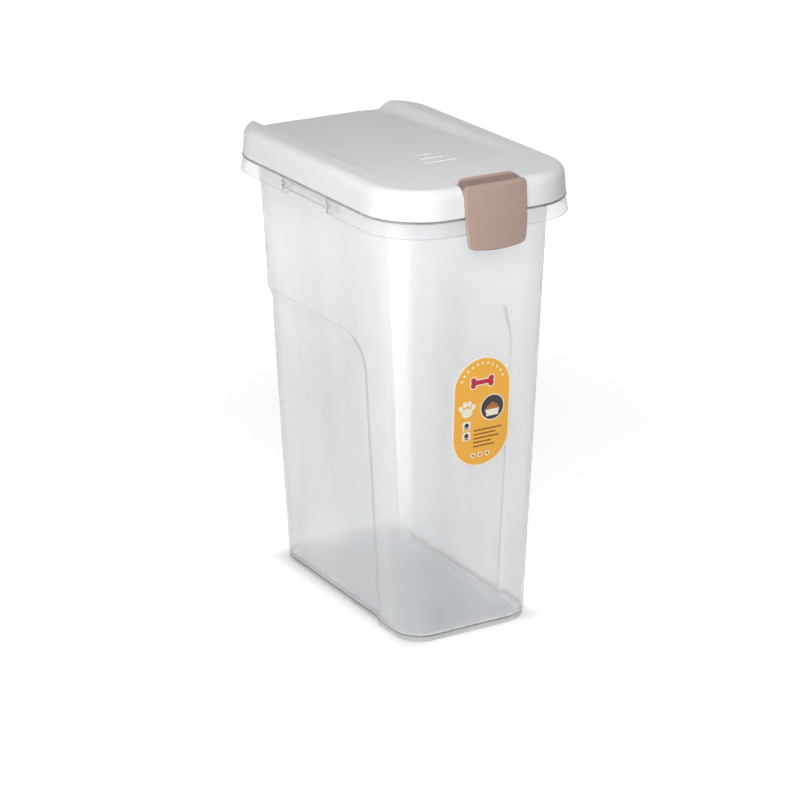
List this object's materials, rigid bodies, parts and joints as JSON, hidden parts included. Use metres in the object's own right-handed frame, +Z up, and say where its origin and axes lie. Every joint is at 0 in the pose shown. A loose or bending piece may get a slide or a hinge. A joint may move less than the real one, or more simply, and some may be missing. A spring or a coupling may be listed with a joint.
{
  "type": "pet food storage container",
  "caption": "Tall tapered clear bin with a hinged white lid that has a dished top, a snap clip at the front and an oval label on the front wall.",
  "frame": {"origin": "middle of the base on the ground, halfway along the overall depth", "axes": "+Z up, the front with the clip and the label faces -Y, the lid hinge is at +Y"},
  "size_m": [0.2304, 0.3909, 0.5057],
  "materials": {
    "clear_plastic": "clear, slightly hazy, glossy",
    "white_plastic": "satin",
    "taupe_plastic": "satin",
    "label_film": "printed gloss film"
  },
  "bodies": {
    "container": {"container_body": "clear_plastic", "front_label": "label_film"},
    "lid": {"lid": "white_plastic"},
    "clip": {"front_clip": "taupe_plastic"}
  },
  "joints": [
    {"name": "lid_hinge", "type": "hinge", "parent": "container", "child": "lid", "pos_m": [0, 0.1907, 0.4654], "axis": [-1, 0, 0], "range_deg": [0, 110]},
    {"name": "clip_pivot", "type": "hinge", "parent": "lid", "child": "clip", "pos_m": [0, -0.1685, 0.4981], "axis": [-1, 0, 0], "range_deg": [0, 60]}
  ]
}
